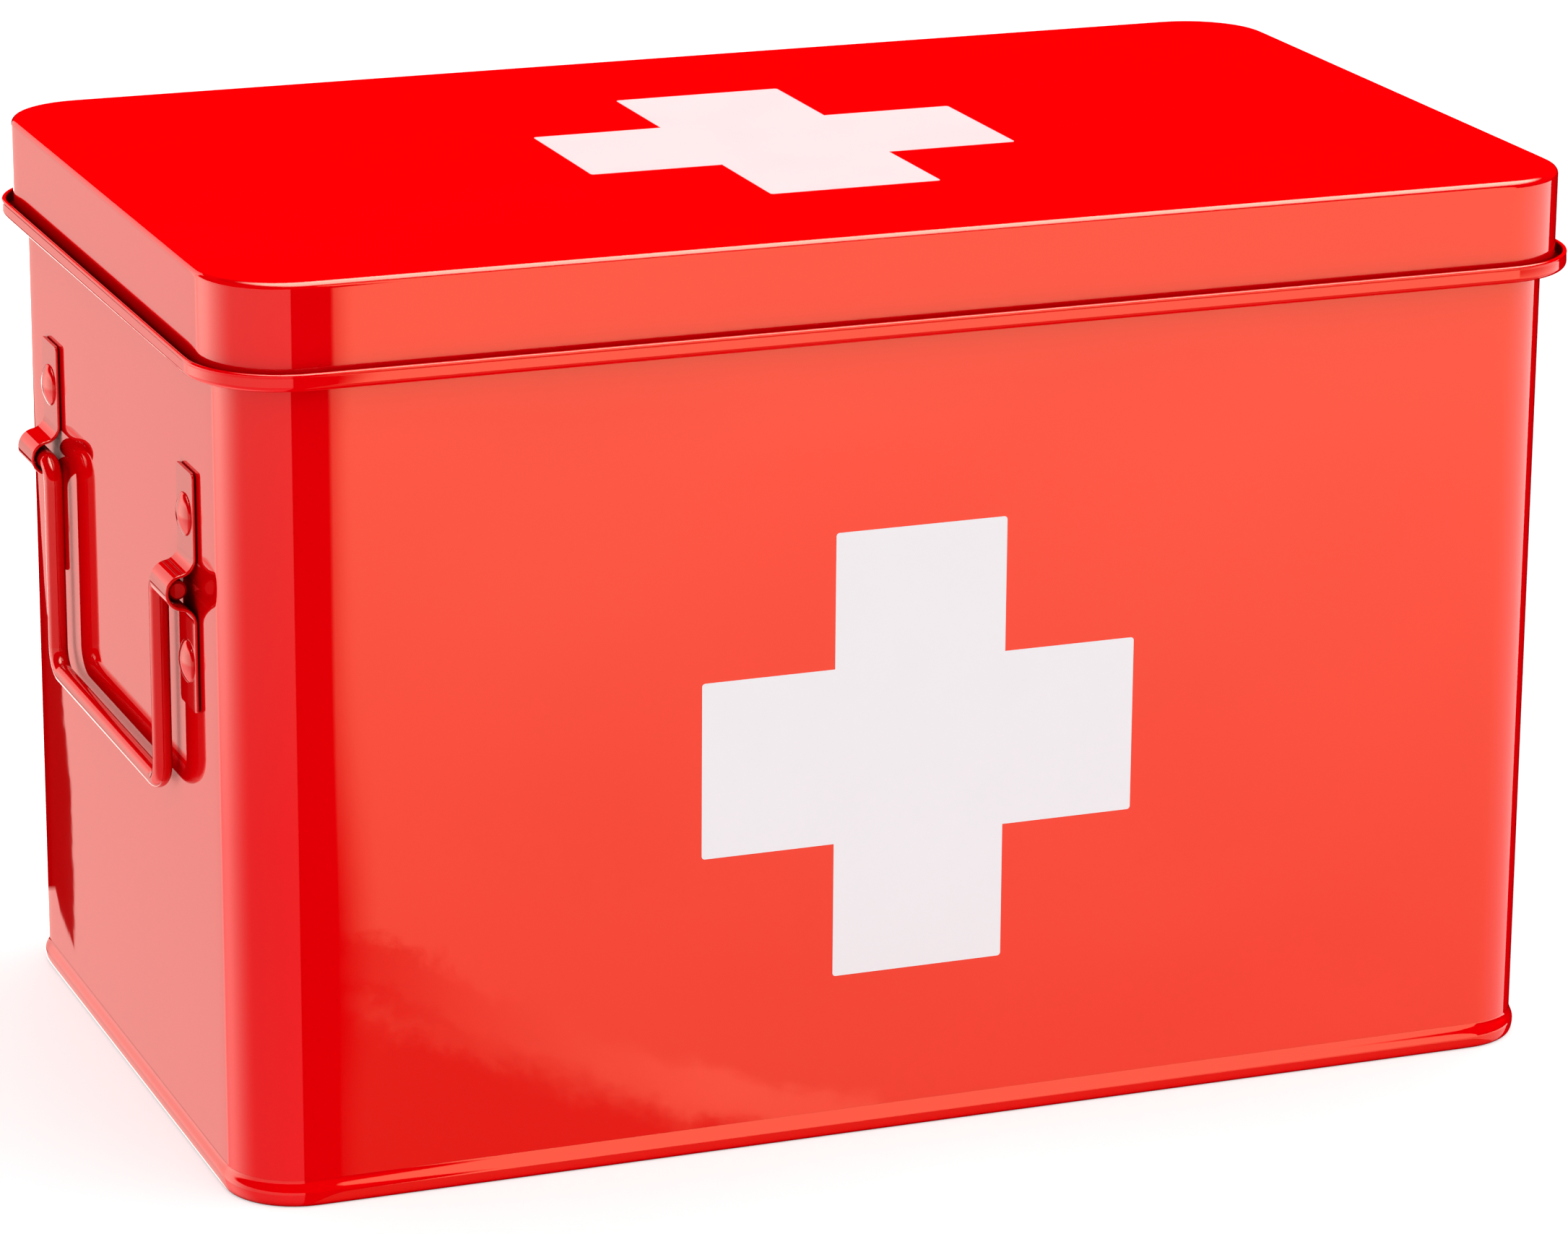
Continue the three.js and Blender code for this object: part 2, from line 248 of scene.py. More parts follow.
def top_dip(x, y):
    """How far the lid's top lies under its highest level."""
    return DIP * (1 + math.sin(x / 24 + 1) * math.sin(y / 19 + 2))


def ring_round(out, z, wave=0.0):
    """The outline moved out by a distance, at a height, with a share of the walls' waves."""
    ring = []
    for x, y, nx, ny in OUTLINE:
        away = out + wave * wall_wave(x, y, z, nx, ny)
        ring.append((x + nx * away, y + ny * away, z))
    return ring


def rings_inside(out, z, dip=0.0):
    """Rings from the outline moved out by a distance, closing on the middle line of the
    box, with a share of the waves in the lid's top."""
    first = ring_round(out, z)
    limit_x = HALF_X + out
    limit_y = HALF_Y + out
    steps = math.ceil(limit_y / GRID)
    rings = []
    for i in range(steps + 1):
        inset = limit_y * i / steps
        ring = []
        for x, y, _ in first:
            px = max(-limit_x + inset, min(limit_x - inset, x))
            py = max(-limit_y + inset, min(limit_y - inset, y))
            ring.append((px, py, z - dip * top_dip(px, py)))
        rings.append(ring)
    return rings


# ---- materials --------------------------------------------------------------------------

GAP_REACH = 0.005          # metres within which another surface counts as a gap, for the painted shade
PAINTED_GAP_SHADE = 0.12           # share of the enamel colour left in the deepest gap, as painted shade
FLOOR_GLOW = 0.47          # light that the floor gives off itself


def node(tree, kind, inputs=None, **settings):
    """A new shader node. An input is a number, a colour or another node's output."""
    new = tree.nodes.new(kind)
    for name, value in settings.items():
        setattr(new, name, value)
    for key, value in (inputs or {}).items():
        if isinstance(value, bpy.types.NodeSocket):
            tree.links.new(value, new.inputs[key])
        else:
            new.inputs[key].default_value = value
    return new


def maths(tree, operation, a, b=0.0):
    return node(tree, "ShaderNodeMath", {0: a, 1: b}, operation=operation).outputs[0]


def remap(tree, value, low, high, to_low, to_high, soft=False):
    """Carries low to to_low and high to to_high, and stays level beyond them."""
    kind = "SMOOTHSTEP" if soft else "LINEAR"
    inputs = {"Value": value, "From Min": low, "From Max": high}
    inputs.update({"To Min": to_low, "To Max": to_high})
    return node(tree, "ShaderNodeMapRange", inputs, interpolation_type=kind).outputs[0]


def noise(tree, place, scale, detail=2.0, roughness=0.5):
    inputs = {"Vector": place, "Scale": scale, "Detail": detail, "Roughness": roughness}
    return node(tree, "ShaderNodeTexNoise", inputs).outputs["Fac"]


def blend_colours(tree, share, low, high):
    inputs = {"Factor": share, "A": (*low, 1.0), "B": (*high, 1.0)}
    return node(tree, "ShaderNodeMix", inputs, data_type="RGBA").outputs["Result"]


def new_material(name):
    """A new material, its node tree, its surface shader and the place on the object."""
    material = bpy.data.materials.new(name)
    material.use_nodes = True
    tree = material.node_tree
    place = node(tree, "ShaderNodeTexCoord").outputs["Object"]
    return material, tree, tree.nodes["Principled BSDF"], place


def gloss_paint(name, dark, light, rough_low, rough_high, peel):
    """Stoved gloss enamel: even colour with a faint drift, painted shade that makes it darker
    and less glossy in the narrow gaps, and a very fine orange peel of the given depth in metres."""
    material, tree, surface, place = new_material(name)
    drift = noise(tree, place, scale=14.0, detail=3.0)
    even = blend_colours(tree, remap(tree, drift, 0.3, 0.7, 0.0, 1.0), dark, light)
    # Painted shade: ambient occlusion darkens the colour towards a deep shade in narrow gaps and
    # crevices.
    occlusion = node(tree, "ShaderNodeAmbientOcclusion", {"Distance": GAP_REACH}, samples=8)
    open_share = occlusion.outputs["AO"]
    painted_gap_shade_colour = tuple(PAINTED_GAP_SHADE * part for part in dark)
    painted_gap_shade = remap(tree, open_share, 0.05, 0.5, 0.0, 1.0, soft=True)
    inputs = {"Factor": painted_gap_shade, "A": (*painted_gap_shade_colour, 1.0), "B": even}
    colour = node(tree, "ShaderNodeMix", inputs, data_type="RGBA").outputs["Result"]
    tree.links.new(colour, surface.inputs["Base Color"])
    # Painted shade on the gloss: the specular level drops where ambient occlusion finds the surface
    # closed in.
    painted_gap_shine = remap(tree, open_share, 0.3, 0.75, 0.0, 0.5, soft=True)
    tree.links.new(painted_gap_shine, surface.inputs["Specular IOR Level"])
    grain = noise(tree, place, scale=60.0, detail=4.0, roughness=0.6)
    rough = remap(tree, grain, 0.3, 0.7, rough_low, rough_high)
    tree.links.new(rough, surface.inputs["Roughness"])
    fine = noise(tree, place, scale=260.0, detail=1.0)
    broad = noise(tree, place, scale=45.0, detail=1.0)
    height = maths(tree, "ADD", maths(tree, "MULTIPLY", broad, 3.0), fine)
    bump = node(tree, "ShaderNodeBump", {"Height": height, "Strength": 1.0, "Distance": peel})
    tree.links.new(bump.outputs["Normal"], surface.inputs["Normal"])
    surface.inputs["IOR"].default_value = 1.5
    return material


def print_ink():
    """Screen-printed white: satin, with the faint mottle of a thick ink film."""
    material, tree, surface, place = new_material("white_print")
    mottle = noise(tree, place, scale=60.0, detail=3.0, roughness=0.6)
    colour = blend_colours(tree, mottle, (0.74, 0.72, 0.74), (0.76, 0.74, 0.76))
    tree.links.new(colour, surface.inputs["Base Color"])
    tree.links.new(remap(tree, mottle, 0.3, 0.7, 0.30, 0.36), surface.inputs["Roughness"])
    bump = node(tree, "ShaderNodeBump", {"Height": mottle, "Strength": 1.0, "Distance": 2e-6})
    tree.links.new(bump.outputs["Normal"], surface.inputs["Normal"])
    surface.inputs["Specular IOR Level"].default_value = 0.05
    return material


def floor_paint():
    """Matt pale paint that gives off a little light of its own."""
    material, tree, surface, place = new_material("pale_floor")
    tone = noise(tree, place, scale=3.0, detail=3.0)
    colour = blend_colours(tree, tone, (0.60, 0.60, 0.60), (0.62, 0.62, 0.62))
    tree.links.new(colour, surface.inputs["Base Color"])
    surface.inputs["Roughness"].default_value = 0.9
    surface.inputs["Specular IOR Level"].default_value = 0.0
    surface.inputs["Emission Color"].default_value = (1.0, 1.0, 1.0, 1.0)
    surface.inputs["Emission Strength"].default_value = FLOOR_GLOW
    return material


def red_enamel():
    """The sheet metal's enamel, almost a mirror."""
    return gloss_paint("red_enamel", dark=(0.66, 0.0, 0.001), light=(0.69, 0.0, 0.002),
                       rough_low=0.004, rough_high=0.009, peel=2e-7)


def red_hardware():
    """The same enamel on the straps, rivets and wires: deeper, and not quite as smooth."""
    return gloss_paint("red_hardware", dark=(0.50, 0.0, 0.001), light=(0.56, 0.0, 0.002),
                       rough_low=0.015, rough_high=0.03, peel=3e-6)


MATERIALS = {"red_enamel": red_enamel(), "red_hardware": red_hardware(), "white_print": print_ink()}

# ---- pieces -----------------------------------------------------------------------------

BODY_OF = {n: body for body, nodes in frame["record"]["behaviour"]["bodies"].items() for n in nodes}
SLOT_OF = {part["node"]: part["material_slot"] for part in frame["record"]["subparts"]}


def stands_for(piece, cad_node):
    """Hands a finished piece over to the body, material and slot of its CAD node."""
    piece.data.materials.append(MATERIALS[SLOT_OF[cad_node]])
    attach(piece, BODY_OF[cad_node])
    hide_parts(cad_node)


def wall_sheet():
    """One band of sheet with its top edge curled outwards, standing in the bottom pan."""
    curl_x = CURL_R - SHEET / 2
    curl_z = wall_high.z - CURL_R - SHEET / 2
    inner, outer = CURL_R - SHEET / 2, CURL_R + SHEET / 2
    upright = round((curl_z - wall_low.z) / GRID)
    section = [(-SHEET, wall_low.z), (0.0, wall_low.z)]
    section += line((0.0, wall_low.z), (0.0, curl_z), upright)
    section += arc(curl_x, curl_z, inner, 180, CURL_END, 16)
    section += arc(curl_x, curl_z, outer, CURL_END, 180, 24)
    section += line((-SHEET, curl_z), (-SHEET, wall_low.z), upright)
    rings = [ring_round(out, z, 1.0) for out, z in section]
    return loft("wall_sheet", rings, joined=True)


def bottom_pan():
    """The pan closes the box; its edge goes under the wall and swells into the foot bead."""
    inner = -SHEET - FIT_GAP
    out = inner - SHEET
    r = PAN_BEND_R
    half = pan_high.z / 2
    swell = SEAM_OUT - BEAD_EDGE
    bead = [(BEAD_EDGE + swell * c, half * (1 + s)) for c, s in arc(0, 0, 1, -90, 0, 10)]
    for i in range(1, 13):
        share = (1 + math.cos(math.pi * i / 12)) / 2
        bead.append((BEAD_EDGE + swell * share, half + BEAD_RISE * i / 12))
    section = arc(out - r, PANEL_Z - r, r, 90, 0, 5) + arc(out + r, r, r, 180, 270, 5) + bead
    section += [(BEAD_EDGE / 2, half + BEAD_RISE - 0.15), (BEAD_EDGE / 2, SHEET), (inner, SHEET)]
    section += [(inner, PANEL_Z + SHEET)]
    rings = list(reversed(rings_inside(FIRST_INNER, PANEL_Z)))
    rings += [ring_round(out, z) for out, z in section]
    rings += rings_inside(FIRST_INNER, PANEL_Z + SHEET)
    return loft("bottom_pan", rings)


def lid_sheet():
    """One pressing: top, skirt, and the lip turned out and up with its open channel. Its
    edge is rolled, with a slight hollow under the roll."""
    inside = SKIRT_OUT - SHEET
    r = LIP_BEND_R
    bend_z = lid_low.z + r
    roll_z = LIP_TOP_Z - LIP_ROLL_R
    edge_x = SKIRT_OUT - LID_EDGE_R
    edge_z = lid_high.z - LID_EDGE_R
    section = arc(edge_x, edge_z, LID_EDGE_R, 90, 0, 12)
    section += line((SKIRT_OUT, edge_z), (SKIRT_OUT, bend_z), 4)
    section += arc(inside + r, bend_z, r - SHEET, 180, 270, 6)
    section += arc(LIP_OUT - r, bend_z, r - SHEET, 270, 360, 6)
    section += arc(LIP_OUT - LIP_ROLL_R, roll_z, LIP_ROLL_R, LIP_ROLL_START, LIP_ROLL_END, 20)
    hollow = [(LIP_OUT - 0.06, roll_z - 0.4), (LIP_OUT - 0.04, roll_z - 1.0)]
    section += hollow
    section += arc(LIP_OUT - r, bend_z, r, 360, 270, 12)
    section += arc(inside + r, bend_z, r, 270, 180, 8)
    section += line((inside, bend_z), (inside, edge_z), 4)
    section += arc(edge_x, edge_z, LID_EDGE_R - SHEET, 0, 90, 6)
    rings = list(reversed(rings_inside(FIRST_INNER, lid_high.z, 1.0)))
    rings += [ring_round(out, z) for out, z in section]
    rings += rings_inside(FIRST_INNER, lid_high.z - SHEET)
    return loft("lid_sheet", rings)


def cross_cells(half):
    """The cells of a cross cut up small, each a list of its corners. They come in an order
    that is the same every time."""
    arm = half * CROSS_ARM
    r = CROSS_ROUND
    quarter = arc(half - r, -arm + r, r, -90, 0, 4) + arc(half - r, arm - r, r, 0, 90, 4)
    quarter += [(arm, arm)]
    outline = []
    for turn in range(4):
        c, s = round(math.cos(turn * math.pi / 2)), round(math.sin(turn * math.pi / 2))
        outline += [(x * c - y * s, x * s + y * c) for x, y in quarter]
    bm = bmesh.new()
    bm.faces.new([bm.verts.new((x, y, 0)) for x, y in outline])
    cuts = round(2 * half / GRID)
    both_axes = (Vector((1, 0, 0)), Vector((0, 1, 0)))
    for i in range(1, cuts):
        at = -half + 2 * half * i / cuts
        for axis in both_axes:
            everything = bm.verts[:] + bm.edges[:] + bm.faces[:]
            bmesh.ops.bisect_plane(bm, geom=everything, plane_co=axis * at, plane_no=axis)
    cells = []
    for face in bm.faces:
        corners = [(round(v.co.x, PLACES), round(v.co.y, PLACES)) for v in face.verts]
        first = corners.index(min(corners))
        cells.append(corners[first:] + corners[:first])
    bm.free()
    return sorted(cells)


def cross_plate(name, low, high, across, up, to_place):
    """A printed cross: a plate of small cells, carried onto its sheet by to_place, which
    turns (across, up, above the sheet) into a point."""
    middle = (low + high) / 2
    cells = cross_cells((high[across] - low[across]) / 2)
    sides = [side for cell in cells for side in zip(cell, cell[1:] + cell[:1])]
    known_sides = set(sides)
    bm = bmesh.new()
    tops = {}
    feet = {}
    for corner in sorted({corner for cell in cells for corner in cell}):
        place = (corner[0] + middle[across], corner[1] + middle[up])
        tops[corner] = bm.verts.new(to_place(*place, FILM))
        feet[corner] = bm.verts.new(to_place(*place, -FILM))
    for cell in cells:
        bm.faces.new([tops[corner] for corner in cell])
        bm.faces.new([feet[corner] for corner in reversed(cell)])
    for start, end in sides:
        on_rim = (end, start) not in known_sides
        if on_rim:
            bm.faces.new((tops[end], tops[start], feet[start], feet[end]))
    return new_object(name, bm)


def on_front(x, z, level):
    """A point of the front print, a level above the waves of the front wall."""
    y = -HALF_Y - level - wall_wave(x, -HALF_Y, z, 0.0, -1.0)
    return Vector((x, y, z))


def on_lid(x, y, level):
    """A point of the lid print, a level above the waves of the lid's top."""
    return Vector((x, y, lid_high.z + level - top_dip(x, y)))


def strap_stations(half_length):
    """Stations along the strap's middle line: (out, up, normal out, normal up)."""
    flat = FIT_GAP + STRAP_THICK / 2
    loop = LOOP_R + STRAP_THICK / 2
    neck = NECK_R + STRAP_THICK / 2
    neck_out = flat + neck
    neck_up = math.sqrt((loop + neck) ** 2 - (LOOP_OUT - neck_out) ** 2)
    turn = math.degrees(math.atan2(neck_up, neck_out - LOOP_OUT))
    ends = [STRAP_CORNER * (1 - math.cos(math.radians(a))) for a in range(0, 91, 15)]
    ends.append(STRAP_CORNER * 2)
    stations = [(flat, end - half_length, 1.0, 0.0) for end in ends]
    for out, up in arc(neck_out, LOOP_UP - neck_up, neck, 180, 180 - turn, 10):
        stations.append((out, up, (neck_out - out) / neck, (LOOP_UP - neck_up - up) / neck))
    for out, up in arc(LOOP_OUT, LOOP_UP, loop, -turn, turn, 36)[1:-1]:
        stations.append((out, up, (out - LOOP_OUT) / loop, (up - LOOP_UP) / loop))
    for out, up in arc(neck_out, LOOP_UP + neck_up, neck, 180 + turn, 180, 10):
        stations.append((out, up, (neck_out - out) / neck, (LOOP_UP + neck_up - up) / neck))
    stations += [(flat, half_length - end, 1.0, 0.0) for end in reversed(ends)]
    return stations


def strap_section(half_width, half_thick):
    """The strap's section with rounded edges, as (across, through)."""
    r = min(STRAP_EDGE, half_width * 0.5, half_thick * 0.9)
    corner_x, corner_z = half_width - r, half_thick - r
    points = arc(corner_x, corner_z, r, 0, 90, 3) + arc(-corner_x, corner_z, r, 90, 180, 3)
    points += arc(-corner_x, -corner_z, r, 180, 270, 3) + arc(corner_x, -corner_z, r, 270, 360, 3)
    return points


def strap(cad_node):
    """A flat strap with a loop pressed out of its middle."""
    low, high = size_of(cad_node)
    side = math.copysign(1, low.x)
    middle = (low + high) / 2
    half_length = (high.z - low.z) / 2
    half_width = (high.y - low.y) / 2
    rings = []
    for out, up, n_out, n_up in strap_stations(half_length):
        past = max(0.0, STRAP_CORNER - (half_length - abs(up)))
        width = half_width - STRAP_CORNER + math.sqrt(max(0.0, STRAP_CORNER ** 2 - past ** 2))
        ring = []
        for across, through in strap_section(width, STRAP_THICK / 2):
            x = HALF_X + out + n_out * through
            ring.append((side * x, middle.y + across, middle.z + up + n_up * through))
        rings.append(ring)
    return loft(cad_node + "_fine", rings, capped=True)


def turned(name, outline, side, y, z, segments=40):
    """A solid turned about an axis along X; its outline is (out, radius)."""
    rings = []
    for out, radius in outline:
        ring = []
        for i in range(segments):
            a = 2 * math.pi * i / segments
            x = side * (HALF_X + out)
            ring.append((x, y + radius * math.cos(a), z + radius * math.sin(a)))
        rings.append(ring)
    return loft(name, rings)


def rivet(cad_node):
    """A rivet with a low painted head outside and a flat closed tail inside."""
    low, high = size_of(cad_node)
    middle = (low + high) / 2
    base = FIT_GAP + STRAP_THICK
    head_r = (high.z - low.z) / 2
    rise = HEAD_HIGH - HEAD_RIM
    dome_r = (head_r ** 2 + rise ** 2) / (2 * rise)
    half = math.degrees(math.asin((head_r - HEAD_EASE) / dome_r))
    tail = -SHEET - TAIL_THICK
    outline = [(tail, 0.0), (tail, TAIL_R - TAIL_EDGE), (tail + TAIL_EDGE, TAIL_R)]
    outline += [(-SHEET, TAIL_R), (-SHEET, SHANK_R), (base, SHANK_R), (base, head_r)]
    outline += [(base + HEAD_RIM * 0.6, head_r - 0.03)]
    outline += arc(base + HEAD_RIM + rise - dome_r, 0, dome_r, half, 0, 14)
    return turned(cad_node + "_fine", outline, math.copysign(1, low.x), middle.y, middle.z)


def wire_handle(cad_node):
    """A round wire: two arms and a bar, its ends turned outwards into the brackets.
    A station is (y, z, direction y, direction z, radius of the wire)."""
    low, high = size_of(cad_node)
    x = (low.x + high.x) / 2
    end_y = high.y
    pivot_z = high.z - WIRE_R
    bar_z = low.z + WIRE_R
    arm_y = arm_distance(cad_node)
    half = [(-end_y, pivot_z, 1.0, 0.0, WIRE_R - WIRE_END)]
    half += [(-end_y + WIRE_END, pivot_z, 1.0, 0.0, WIRE_R)]
    half += bend(-arm_y - TOP_BEND_R, pivot_z - TOP_BEND_R, TOP_BEND_R, 90, 0)
    half += bend(-arm_y + BAR_BEND_R, bar_z + BAR_BEND_R, BAR_BEND_R, 180, 270)
    mirrored = [(-y, z, ty, -tz, r) for y, z, ty, tz, r in reversed(half)]
    rings = []
    for y, z, ty, tz, radius in half + mirrored:
        ring = []
        for i in range(WIRE_SIDES):
            a = 2 * math.pi * i / WIRE_SIDES
            c, s = radius * math.cos(a), radius * math.sin(a)
            ring.append((x + c, y - tz * s, z + ty * s))
        rings.append(ring)
    return loft(cad_node + "_fine", rings, capped=True)


def arm_distance(cad_node):
    """How far the middle of the handle's arms stands from the middle of the box: the
    outermost of its wire, below its top bends."""
    low, high = size_of(cad_node)
    bends_z = (low.z + high.z) / 2 + 15
    verts = [v.co / MM for v in frame["nodes"][cad_node].data.vertices]
    below = [abs(v.y) for v in verts if v.z < bends_z]
    return max(below) - WIRE_R


def bend(cy, cz, radius, start, end, steps=12):
    """The wire's stations along a bend."""
    way = math.copysign(1, end - start)
    stations = []
    for i in range(steps + 1):
        a = math.radians(start + (end - start) * i / steps)
        c, s = math.cos(a), math.sin(a)
        stations.append((cy + radius * c, cz + radius * s, -way * s, way * c, WIRE_R))
    return stations


stands_for(wall_sheet(), "body_wall")
stands_for(bottom_pan(), "bottom_panel")
stands_for(lid_sheet(), "lid")
stands_for(cross_plate("front_print", *size_of("front_cross"), 0, 2, on_front), "front_cross")
stands_for(cross_plate("lid_print", *size_of("lid_cross"), 0, 1, on_lid), "lid_cross")
for cad_name in sorted(frame["nodes"]):
    if cad_name.startswith("bracket"):
        stands_for(strap(cad_name), cad_name)
    elif cad_name.startswith("rivet"):
        stands_for(rivet(cad_name), cad_name)
    elif cad_name.startswith("handle"):
        stands_for(wire_handle(cad_name), cad_name)


# ---- floor, light and camera ------------------------------------------------------------

FLOOR_HALF = 6.0           # metres from the floor's middle to its edge
FLOOR_DROP = 0.0001        # how far it lies under the foot, in metres

# What the gloss mirrors is placed by angles in degrees. A turn goes from the front (-Y)
# towards the left (-X), a back turn from the back (+Y) towards the right (+X), and a height
# up from the horizon.
SCREEN_TOP = 29.0          # height of the screens' upper edge where it is highest
SCREEN_SOFT = 2.0          # half the width of that edge's fade
FRONT_FAR_END = -106.0     # turns of the front screen's ends
FRONT_NEAR_END = -16.75
FRONT_LIGHT = 6.3
TABLE_SLOPE = -0.283       # slope and ripple of the table's edge in the front screen
TABLE_RIPPLE = 0.8
TABLE_SHADE = 0.75         # light that the patch under it loses
LEFT_PEAK = -52.0          # back turn where the left screen is brightest
GAP_RIPPLE = 0.06          # ripple of the dark gap's side
GAP_LEAN_FROM = -17.2      # height above which that side leans away
GAP_SIDE_SOFT = 0.006
TABLE_FROM = 0.0           # back turns of the pale table's ends
TABLE_TO = 9.0
BOX_WAY = Vector((0.25, -0.05, 0.96)).normalized()
BOX_LIGHT = 14.0           # light of the soft box overhead
LIGHT_EVEN = 0.61          # light from the horizon, and what each direction adds
LIGHT_ABOVE = 0.95
LIGHT_RIGHT = 0.37
LIGHT_BACK = -0.17
LIGHT_LEAST = 0.05

CAMERA_TURN = -21.08       # degrees from the front, less than none to the left
CAMERA_RISE = 16.96
CAMERA_ROLL = 0.38
CAMERA_DISTANCE = 1.4008   # metres
CAMERA_TARGET = Vector((0.00295, -0.00045, 0.08937))
CAMERA_LENS = 142.2        # millimetres


def pale_floor():
    """A wide pale floor that the gloss doesn't mirror."""
    bm = bmesh.new()
    bmesh.ops.create_grid(bm, x_segments=8, y_segments=8, size=FLOOR_HALF)
    mesh = bpy.data.meshes.new("floor")
    bm.to_mesh(mesh)
    bm.free()
    floor = bpy.data.objects.new("floor", mesh)
    bpy.context.scene.collection.objects.link(floor)
    floor.location.z = -FLOOR_DROP
    floor.visible_glossy = False
    mesh.materials.append(floor_paint())


def product(tree, first, *others):
    """All the values multiplied."""
    for other in others:
        first = maths(tree, "MULTIPLY", first, other)
    return first


def glow(tree, colour, *shares):
    """A background of one colour, as strong as the product of its shares."""
    colour = colour if isinstance(colour, bpy.types.NodeSocket) else (*colour, 1.0)
    inputs = {"Color": colour, "Strength": product(tree, *shares)}
    return node(tree, "ShaderNodeBackground", inputs).outputs[0]


def band(tree, value, start, end, soft):
    """One between start and end and nothing outside, with edges as wide as soft."""
    rise = remap(tree, value, start - soft / 2, start + soft / 2, 0.0, 1.0, soft=True)
    fall = remap(tree, value, end - soft / 2, end + soft / 2, 1.0, 0.0, soft=True)
    return product(tree, rise, fall)


def under_line(tree, height, line_height, soft):
    """One below a line and nothing above it."""
    above = maths(tree, "SUBTRACT", height, line_height)
    return remap(tree, above, -soft, soft, 1.0, 0.0, soft=True)


def table_patch(tree, turn, height, ripple):
    """The table's edge low in the front screen: a rippled band, darker at the near end and
    lighter beyond it, and a darker patch below."""
    level = maths(tree, "ADD", height, product(tree, turn, TABLE_SLOPE))
    level = maths(tree, "ADD", level, product(tree, ripple, TABLE_RIPPLE))
    edge = band(tree, level, -15.75, -15.15, 0.25)
    gain = remap(tree, turn, -17.0, -20.5, -0.6, 0.45)
    below = remap(tree, level, -15.5, -16.1, 0.0, 1.0, soft=True)
    light = maths(tree, "ADD", 1.0, product(tree, edge, gain))
    return maths(tree, "SUBTRACT", light, product(tree, below, TABLE_SHADE))


def front_screen(tree, turn, height, ripple):
    """A screen from the front right round past the right side. Away from the front it gets
    lower, and whiter."""
    whiteness = remap(tree, turn, -40.0, -100.0, 0.0, 1.0)
    colour = blend_colours(tree, whiteness, (1.0, 0.42, 0.25), (0.60, 0.46, 0.43))
    wide = band(tree, turn, FRONT_FAR_END, FRONT_NEAR_END, 0.5)
    top_line = remap(tree, turn, -26.0, -36.0, SCREEN_TOP, -11.0)
    foot = remap(tree, height, -61.0, -59.0, 0.0, 1.0)
    tall = product(tree, under_line(tree, height, top_line, SCREEN_SOFT), foot)
    fade = remap(tree, height, -22.0, -14.5, 0.48, 1.0)
    patch = table_patch(tree, turn, height, ripple)
    return glow(tree, colour, wide, tall, fade, patch, FRONT_LIGHT)


def dark_gap(tree, back_turn, height, ripple):
    """One in the gap behind the tin: right of a rippled side line that leans away higher up,
    above a sloping foot line, and fading out at its top."""
    edge = maths(tree, "ADD", back_turn, product(tree, ripple, GAP_RIPPLE))
    rise = maths(tree, "MAXIMUM", maths(tree, "ADD", height, -GAP_LEAN_FROM), 0.0)
    edge = maths(tree, "SUBTRACT", edge, maths(tree, "POWER", rise, 2.0))
    side_line = remap(tree, height, -18.6, -16.5, -14.16, -14.035)
    past_side = maths(tree, "SUBTRACT", edge, side_line)
    beside = remap(tree, past_side, -GAP_SIDE_SOFT, GAP_SIDE_SOFT, 0.0, 1.0)
    foot_line = remap(tree, back_turn, -14.19, -13.95, -20.05, -19.4)
    above = remap(tree, maths(tree, "SUBTRACT", height, foot_line), 0.0, 0.05, 0.0, 1.0)
    top = remap(tree, height, -14.0, -15.5, 0.0, 1.0)
    return product(tree, beside, above, top)


def left_screen(tree, back_turn, height, ripple):
    """A screen along the left side: red towards the camera, brightest at the back left, and
    pale behind the tin, where it gets lower and has a dark gap."""
    level = remap(tree, height, -19.0, -14.0, 0.0, 1.0)
    top_line = remap(tree, back_turn, -33.0, -27.0, 8.0, SCREEN_TOP)
    tall = under_line(tree, height, top_line, SCREEN_SOFT)
    near_start = remap(tree, back_turn, -175.0, -173.5, 0.0, 1.0)
    near = product(tree, near_start, remap(tree, back_turn, -32.0, -20.0, 1.0, 0.0))
    near_colour = blend_colours(tree, level, (3.1, 0.42, 0.42), (3.1, 0.95, 0.82))
    rise = remap(tree, back_turn, -100.0, LEFT_PEAK, 0.0, 1.0, soft=True)
    peak = product(tree, rise, remap(tree, back_turn, LEFT_PEAK, -12.0, 1.0, 0.0, soft=True))
    peak_colour = blend_colours(tree, level, (1.2, 1.2, 1.05), (2.0, 2.25, 1.95))
    far = band(tree, back_turn, -26.0, 6.0, 8.0)
    far_line = remap(tree, back_turn, -12.0, 0.0, SCREEN_TOP, -12.0)
    below = under_line(tree, height, far_line, 1.0)
    lit = maths(tree, "SUBTRACT", 1.0, dark_gap(tree, back_turn, height, ripple))
    return [
        glow(tree, near_colour, near, tall),
        glow(tree, peak_colour, peak, tall),
        glow(tree, (1.5, 1.0, 0.90), far, below, lit),
    ]


def soft_box(tree, way):
    """A bright box overhead, with a soft edge."""
    inputs = {0: way, 1: BOX_WAY}
    towards = node(tree, "ShaderNodeVectorMath", inputs, operation="DOT_PRODUCT").outputs["Value"]
    light = remap(tree, towards, 0.72, 0.92, 0.0, BOX_LIGHT, soft=True)
    return glow(tree, (1.1, 0.82, 0.64), light)


